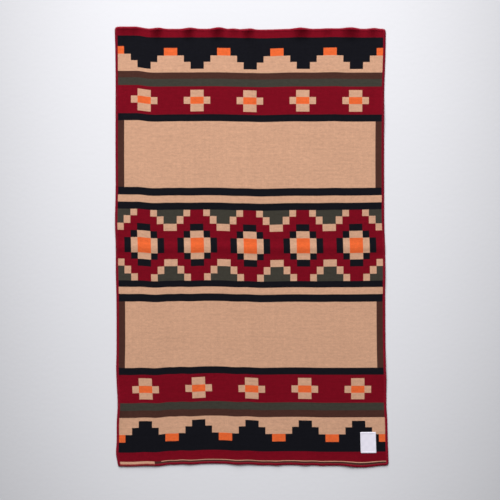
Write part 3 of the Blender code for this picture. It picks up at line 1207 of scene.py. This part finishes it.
@dataclass
class KnittedPanel:
    """The knitted cloth: one closed sheet on the blanket's folds.

    Args:
        lay: How the cloth lies.
        step: The side of a face, in metres.
        swell: Height of the cloth's own small unevenness, in metres.
        waves: How many waves make it up.
        wave_sizes: The shortest and the longest wave, in metres.
        rim: Distance from the cloth's rim over which it fades out.
        seed: The start of its random numbers.
    """

    lay: Lay
    step: float = 0.009
    swell: float = 0.00045
    waves: int = 26
    wave_sizes: tuple[float, float] = (0.05, 0.22)
    rim: float = 0.02
    seed: int = 7

    def unevenness(self, u: Array, v: Array) -> Array:
        """Draws soft small swells, about zero, that fade out towards the cloth's rim.

        Args:
            u: Distances from the left side.
            v: Distances from the lower hem.

        Returns:
            The heights, in metres.
        """
        chance = np.random.default_rng(self.seed)
        total = np.zeros_like(u)
        for _ in range(self.waves):
            angle, phase = chance.uniform(0.0, math.tau, 2)
            size = chance.uniform(*self.wave_sizes)
            ahead = (u * math.cos(angle) + v * math.sin(angle)) * math.tau / size
            total += np.sin(ahead + phase) * size
        total *= self.swell / np.abs(total).max()
        width, length = self.lay.cloth
        inset = np.minimum(np.minimum(u, width - u), np.minimum(v, length - v))
        return total * (1.0 - bell(inset / self.rim))

    def mesh(self) -> bpy.types.Mesh:
        """Builds the closed sheet, with its face up.

        Returns:
            The mesh, with the corners of its grid drawn in to round the cloth's corners.
        """
        width, length = self.lay.cloth
        corner = self.lay.corner
        u_lines, v_lines = (
            np.array([0.0, *np.linspace(corner, size - corner, round(size / self.step)), size])
            for size in (width, length)
        )
        u, v = np.meshgrid(u_lines, v_lines)
        inward = corner * (1.0 - math.sqrt(0.5))
        for i, j in ((0, 0), (0, -1), (-1, 0), (-1, -1)):
            u[i, j] += math.copysign(inward, width / 2.0 - u[i, j])
            v[i, j] += math.copysign(inward, length / 2.0 - v[i, j])
        flats = np.stack([u, v], axis=-1)
        swell = self.unevenness(u, v)
        surface = Surface()
        surface.sheet(
            self.lay.place(u, v, np.maximum(swell, 0.0)),
            self.lay.place(u, v, self.lay.thickness + swell),
            flats,
            turned=1.0,
        )
        return surface.mesh("knitted_panel")

    def build(self, finish: bpy.types.Material) -> bpy.types.Object:
        """Makes the piece that stands for the cloth's solid.

        Args:
            finish: The knit's finish.

        Returns:
            The piece.
        """
        made = piece("knitted_panel", self.mesh(), finish)
        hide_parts("blanket")
        return made


class Side(Enum):
    """The cloth's four sides, followed anticlockwise: start corner, direction and outward."""

    BOTTOM = ("bottom", (0, 0), (1, 0), (0, -1))
    RIGHT = ("right", (1, 0), (0, 1), (1, 0))
    TOP = ("top", (1, 1), (-1, 0), (0, 1))
    LEFT = ("left", (0, 1), (0, -1), (-1, 0))


@dataclass
class OvercastEdging:
    """The overcast stitches round the cloth, and the rolled edge that they hold.

    Args:
        lay: How the cloth lies.
        pitch: Distance from stitch to stitch, in metres.
        yarn: Radius of the yarn, in metres.
        lean: How far a stitch's outer end runs ahead of its inner end, in metres.
        path: A stitch's path, each point out from the cloth's rim and up, in millimetres.
        core: Cross section of the rolled edge, each point out and up, in millimetres.
        middle: How far out the stitches' own middle is, in millimetres.
        sides: How many sides the yarn's cross section has.
        track_step: Distance between the points along a side, in metres.
        turns: How many points lead round half a corner.
    """

    lay: Lay
    pitch: float = 0.0031
    yarn: float = 0.00115
    lean: float = 0.0016
    path: tuple[tuple[float, float], ...] = (
        (-1.5, 2.3), (-0.4, 3.05), (1.6, 3.20), (3.6, 3.10), (5.6, 2.75), (7.4, 2.15),
        (8.5, 1.45), (7.6, 1.16), (4.6, 1.16), (1.3, 1.16),
    )
    core: tuple[tuple[float, float], ...] = (
        (-0.4, 0.45), (-0.4, 2.90), (3.2, 2.95), (5.2, 2.55), (7.1, 1.70), (6.7, 0.60),
    )
    middle: float = 4.6
    sides: int = 7
    track_step: float = 0.005
    turns: int = 5

    def stations(self, side: Side) -> list[tuple[Array, Array, Array]]:
        """Lists the places along one side, from one corner's diagonal to the next one's.

        Args:
            side: The side to follow.

        Returns:
            For each place a base point, one corner radius in from the rim, the outward
            direction and the direction along, all flat.
        """
        _, start, along, outward = side.value
        size = np.array(self.lay.cloth)
        ahead, out = np.array(along, float), np.array(outward, float)
        corner = np.array(start) * size
        length = abs(ahead @ size)
        radius = self.lay.corner
        count = round(length / self.track_step)
        turns = np.linspace(math.radians(45.0), 0.0, self.turns, endpoint=False)
        places = [(radius, -turn) for turn in turns]
        places += [(s, 0.0) for s in np.linspace(radius, length - radius, count)]
        places += [(length - radius, turn) for turn in reversed(turns)]
        return [
            (
                corner + ahead * s - out * radius,
                out * math.cos(turn) + ahead * math.sin(turn),
                ahead * math.cos(turn) - out * math.sin(turn),
            )
            for s, turn in places
        ]

    def along(self, side: Side, out: float, up: float) -> Array:
        """Follows one side beside its rim.

        Args:
            side: The side to follow.
            out: Distance out from the rim, in millimetres.
            up: Height above the cloth's underside, in millimetres.

        Returns:
            The points, one row each.
        """
        reach = self.lay.corner + out * MM
        flat = np.array([base + outward * reach for base, outward, _ in self.stations(side)])
        return self.lay.place(flat[:, 0], flat[:, 1], up * MM)

    def stitch(self) -> bpy.types.Mesh:
        """Builds one stitch: a yarn that goes over the rolled edge and back under it.

        Returns:
            The mesh, about its own origin.
        """
        points = np.array(self.path)
        fine = np.linspace(0, len(points) - 1, 2 * len(points) - 1)
        out = np.interp(fine, np.arange(len(points)), points[:, 0])
        up = np.interp(fine, np.arange(len(points)), points[:, 1])
        for line in (out, up):
            line[1:-1] = (line[:-2] + 2.0 * line[1:-1] + line[2:]) / 4.0
        x = (out - self.middle) * MM
        share = (out - out.min()) / (out.max() - out.min())
        centre = np.stack([x, (share - 0.5) * self.lean, up * MM], axis=-1)
        ahead = np.gradient(centre, axis=0)
        ahead /= np.linalg.norm(ahead, axis=1, keepdims=True)
        across = np.array([0.0, 1.0, 0.0])
        level = across - ahead * (ahead @ across)[:, None]
        level /= np.linalg.norm(level, axis=1, keepdims=True)
        rise = np.cross(ahead, level)
        angles = np.linspace(0.0, math.tau, self.sides + 1)
        rings = (
            centre[:, None]
            + self.yarn * np.cos(angles)[None, :, None] * level[:, None]
            + self.yarn * np.sin(angles)[None, :, None] * rise[:, None]
        )
        run = np.concatenate([[0.0], np.cumsum(np.linalg.norm(np.diff(centre, axis=0), axis=1))])
        surface = Surface()
        surface.tube(rings, run)
        return surface.mesh("overcast_stitch", sharp_above=80.0)

    def rolled_edge(self, side: Side) -> bpy.types.Mesh:
        """Builds the rolled edge of one side.

        Args:
            side: The side.

        Returns:
            The mesh, in place.
        """
        section = [self.core[0], *reversed(self.core)]
        rings = np.stack([self.along(side, out, up) for out, up in section], axis=1)
        surface = Surface()
        surface.tube(rings, np.linspace(0.0, 1.0, len(rings)))
        return surface.mesh(f"rolled_edge_{side.value[0]}")

    def build(
        self, run: StitchRun, yarn: bpy.types.Material, rolled: bpy.types.Material
    ) -> list[bpy.types.Object]:
        """Makes the stitches and the rolled edge of each side.

        Args:
            run: The tree that sews the stitches.
            yarn: The stitches' finish.
            rolled: The rolled edge's finish.

        Returns:
            The pieces.
        """
        made = []
        stitch = self.stitch()
        for seed, side in enumerate(Side):
            name = side.value[0]
            line = self.along(side, self.middle, 0.0)
            values = {"Pitch": self.pitch, "Unevenness": 1.0, "Seed": seed, "Finish": yarn}
            mesh = run.sewn(f"overcast_{name}", line, stitch, values)
            sewn = piece(f"overcast_{name}", mesh, yarn)
            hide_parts(f"edging_{name}")
            made.append(sewn)
            made.append(piece(f"rolled_edge_{name}", self.rolled_edge(side), rolled))
        return made


@dataclass
class SewnLabel:
    """The blank label: woven tape with its sides turned under, sewn on all round.

    Args:
        lay: How the cloth lies.
        size: Its width and length, in metres.
        middle: The flat place of its middle.
        rest: Height of its underside above the cloth's underside, in metres.
        thickness: Thickness at its middle, in metres.
        fold: Width and extra height of the turned-under sides, in metres.
        seam: How far in from the sides the seam runs, in metres.
        thread: Radius of the thread, in metres.
        stitch_length: Length of a seam stitch, in metres.
        pitch: Distance from stitch to stitch, in metres.
        cells: Faces across and along the label.
        corner: How far its corners are drawn in, in metres.
        corner_from: The share of half its size from which a corner is drawn in.
        fold_slope: Width over which a turned-under side rises, in metres.
        rounding: Width over which the tape's edge is rounded, in metres.
        rim_share: The share of the thickness that is left at the edge.
        groove: Half width of the groove under the seam, in metres, and its share of the fold.
        pucker: Waves of the tape across and along in radians per metre, their start and height.
        arch: How high a stitch lies at its middle and dips at its ends, in radii of the thread.
        sides: How many sides the thread's cross section has.
        rings: How many rings make up a stitch.
        seam_points: How many points of the seam's line lie along each side.
    """

    lay: Lay
    size: tuple[float, float] = (0.063, 0.086)
    middle: tuple[float, float] = (1.0095, 0.0855)
    rest: float = 0.0031
    thickness: float = 0.0006
    fold: tuple[float, float] = (0.0065, 0.00045)
    seam: float = 0.0028
    thread: float = 0.00028
    stitch_length: float = 0.0030
    pitch: float = 0.0036
    cells: tuple[int, int] = (50, 68)
    corner: float = 0.0012
    corner_from: float = 0.94
    fold_slope: float = 0.0012
    rounding: float = 0.0007
    rim_share: float = 0.35
    groove: tuple[float, float] = (0.0009, 0.55)
    pucker: tuple[float, float, float, float] = (210.0, 170.0, 0.6, 0.00012)
    arch: tuple[float, float] = (0.75, 1.7)
    sides: int = 6
    rings: int = 7
    seam_points: int = 25

    def top(self, x: Array, y: Array) -> Array:
        """Finds how high the label's face lies over its underside.

        Args:
            x: Distances to the right of its middle.
            y: Distances above its middle.

        Returns:
            The heights, in metres.
        """
        inset = np.minimum(self.size[0] / 2.0 - np.abs(x), self.size[1] / 2.0 - np.abs(y))
        width, height = self.fold
        folded = np.clip((width - inset) / self.fold_slope, 0.0, 1.0)
        edge = np.clip(inset / self.rounding, 0.0, 1.0) ** 0.5
        seam = 1.0 - bell((inset - self.seam) / self.groove[0]) * self.groove[1]
        across, along, start, swell = self.pucker
        pucker = np.sin(x * across) * np.sin(y * along + start) * swell
        body = self.thickness * (self.rim_share + (1.0 - self.rim_share) * edge)
        return body + height * folded * edge * seam + pucker * edge

    def mesh(self) -> bpy.types.Mesh:
        """Builds the label as a closed sheet with small round corners.

        Returns:
            The mesh, in place.
        """
        x, y = np.meshgrid(*(
            np.linspace(-size / 2.0, size / 2.0, cells + 1)
            for size, cells in zip(self.size, self.cells)
        ))
        over = np.minimum(np.abs(x) / (self.size[0] / 2.0), np.abs(y) / (self.size[1] / 2.0))
        at_corner = np.clip((over - self.corner_from) / (1.0 - self.corner_from), 0.0, 1.0)
        draw = 1.0 - at_corner * self.corner / self.size[0]
        u, v = self.middle[0] + x * draw, self.middle[1] + y * draw
        surface = Surface()
        surface.sheet(
            self.lay.place(u, v, self.rest),
            self.lay.place(u, v, self.rest + self.top(x, y)),
            np.stack([u, v], axis=-1),
        )
        return surface.mesh("sewn_label", sharp_above=70.0)

    def stitch(self) -> bpy.types.Mesh:
        """Builds one stitch: a short thread that dips into the tape at both ends.

        Returns:
            The mesh, about its own origin.
        """
        part = np.linspace(-1.0, 1.0, self.rings)
        height, dip = self.arch
        centre = np.stack([
            np.zeros_like(part),
            part * self.stitch_length / 2.0,
            self.thread * (height - dip * part ** 4),
        ], axis=-1)
        angles = np.linspace(math.tau, 0.0, self.sides + 1)
        ring = np.stack([np.cos(angles), np.zeros_like(angles), np.sin(angles)], axis=-1)
        surface = Surface()
        surface.tube(centre[:, None] + self.thread * ring, part * self.stitch_length)
        return surface.mesh("label_stitch", sharp_above=80.0)

    def seam_line(self) -> Array:
        """Lists the places of the seam, once round the label.

        Returns:
            The points, one row each.
        """
        half = np.array(self.size) / 2.0 - self.seam
        corners = np.array([(-1, -1), (1, -1), (1, 1), (-1, 1), (-1, -1)]) * half
        points = np.concatenate([
            np.linspace(a, b, self.seam_points, endpoint=False)
            for a, b in zip(corners, corners[1:])
        ])
        height = self.rest + self.top(points[:, 0], points[:, 1])
        return self.lay.place(self.middle[0] + points[:, 0], self.middle[1] + points[:, 1], height)

    def build(
        self, run: StitchRun, tape: bpy.types.Material, thread: bpy.types.Material
    ) -> tuple[bpy.types.Object, bpy.types.Object]:
        """Makes the label and its seam.

        Args:
            run: The tree that sews the stitches.
            tape: The label's finish.
            thread: The thread's finish.

        Returns:
            The label and the seam.
        """
        label = piece("sewn_label", self.mesh(), tape)
        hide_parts("label")
        values = {"Pitch": self.pitch, "Unevenness": 0.5, "Seed": 11, "Finish": thread}
        seam = run.sewn("label_seam", self.seam_line(), self.stitch(), values)
        return label, piece("label_seam", seam, thread)


@dataclass
class Studio:
    """The pale floor, the soft light and the camera.

    Args:
        view: Width and height of the picture on the floor, in metres.
        aim: The point under the middle of the picture.
        height: The camera's height, in metres.
        sensor: The width of its sensor, in millimetres.
        floor_size: The floor's width, in metres.
        floor_depth: How far it lies below the blanket, in metres.
        key_place: The place of the large light.
        key_aim: The place that it shines on.
        key_size: Its width, in metres.
        key_power: Its power, in watts.
        key_colour: Its colour.
        world: The colour of the room's light.
        world_strength: The strength of the room's light.
    """

    view: float = 2.0417
    aim: tuple[float, float] = (-0.0068, -0.0117)
    height: float = 5.0
    sensor: float = 36.0
    floor_size: float = 40.0
    floor_depth: float = 0.0002
    key_place: Point = (-1.5, 10.2, 4.7)
    key_aim: Point = (0.0, 0.2, 0.0)
    key_size: float = 8.0
    key_power: float = 3640.0
    key_colour: Colour = (1.0, 0.985, 0.97)
    world: Colour = (0.98, 0.985, 1.0)
    world_strength: float = 0.28

    def build(self, floor: bpy.types.Material) -> None:
        """Sets the stage.

        Args:
            floor: The floor's finish.
        """
        self.floor(floor)
        self.light()
        self.camera()

    def floor(self, finish: bpy.types.Material) -> None:
        """Lays the floor just under the blanket.

        Args:
            finish: The floor's finish.
        """
        half = self.floor_size / 2.0
        mesh = bpy.data.meshes.new("floor")
        corners = [(-half, -half), (half, -half), (half, half), (-half, half)]
        mesh.from_pydata([(x, y, -self.floor_depth) for x, y in corners], [], [(0, 1, 2, 3)])
        mesh.materials.append(finish)
        shown("floor", mesh)

    def light(self) -> None:
        """Hangs a large soft light beyond the upper hem, with a pale room round it."""
        data = bpy.data.lights.new("key", "AREA")
        data.shape = "DISK"
        data.size = self.key_size
        data.energy = self.key_power
        data.color = self.key_colour
        key = shown("key", data)
        key.location = self.key_place
        towards = Vector(self.key_aim) - Vector(self.key_place)
        key.rotation_euler = towards.to_track_quat("-Z", "Y").to_euler()
        key.visible_camera = False
        world = bpy.data.worlds.new("room")
        world.use_nodes = True
        net = NodeNet(world.node_tree)
        sky = net.signal(
            "ShaderNodeBackground", None, {"Color": (*self.world, 1.0), "Strength": self.world_strength}
        )
        net.add("ShaderNodeOutputWorld", None, {"Surface": sky})
        bpy.context.scene.world = world
        bpy.context.scene.view_settings.view_transform = "Standard"

    def camera(self) -> None:
        """Looks straight down on the blanket, with its upper hem at the top."""
        data = bpy.data.cameras.new("camera")
        data.sensor_width = self.sensor
        data.lens = self.sensor * self.height / self.view
        made = shown("camera", data)
        made.location = (*self.aim, self.height)
        bpy.context.scene.camera = made


def main() -> None:
    """Builds the blanket in order."""
    logging.basicConfig(level=logging.INFO, format="%(name)s: %(message)s")
    lay = Lay()
    knit = KnitFinish("jacquard_knit", relief=0.0007).material()
    yarn = ThreadFinish("overcast_yarn", relief=0.0003, colour=(0.245, 0.0080, 0.0220)).material()
    rolled = RolledEdgeFinish("rolled_knit", relief=0.0006).material()
    tape = TapeFinish("woven_tape", roughness=0.6, gloss=0.2, relief=0.00008).material()
    thread = ThreadFinish(
        "sewing_thread", roughness=0.7, relief=0.00006, colour=(0.70, 0.69, 0.74), twist=0.0009
    ).material()
    floor = FloorFinish("pale_floor", gloss=0.2, roughness=0.8, relief=0.0002).material()

    run = StitchRun()
    panel = KnittedPanel(lay).build(knit)
    edging = OvercastEdging(lay).build(run, yarn, rolled)
    label, seam = SewnLabel(lay).build(run, tape, thread)
    Studio().build(floor)


if __name__ == "__main__":
    main()
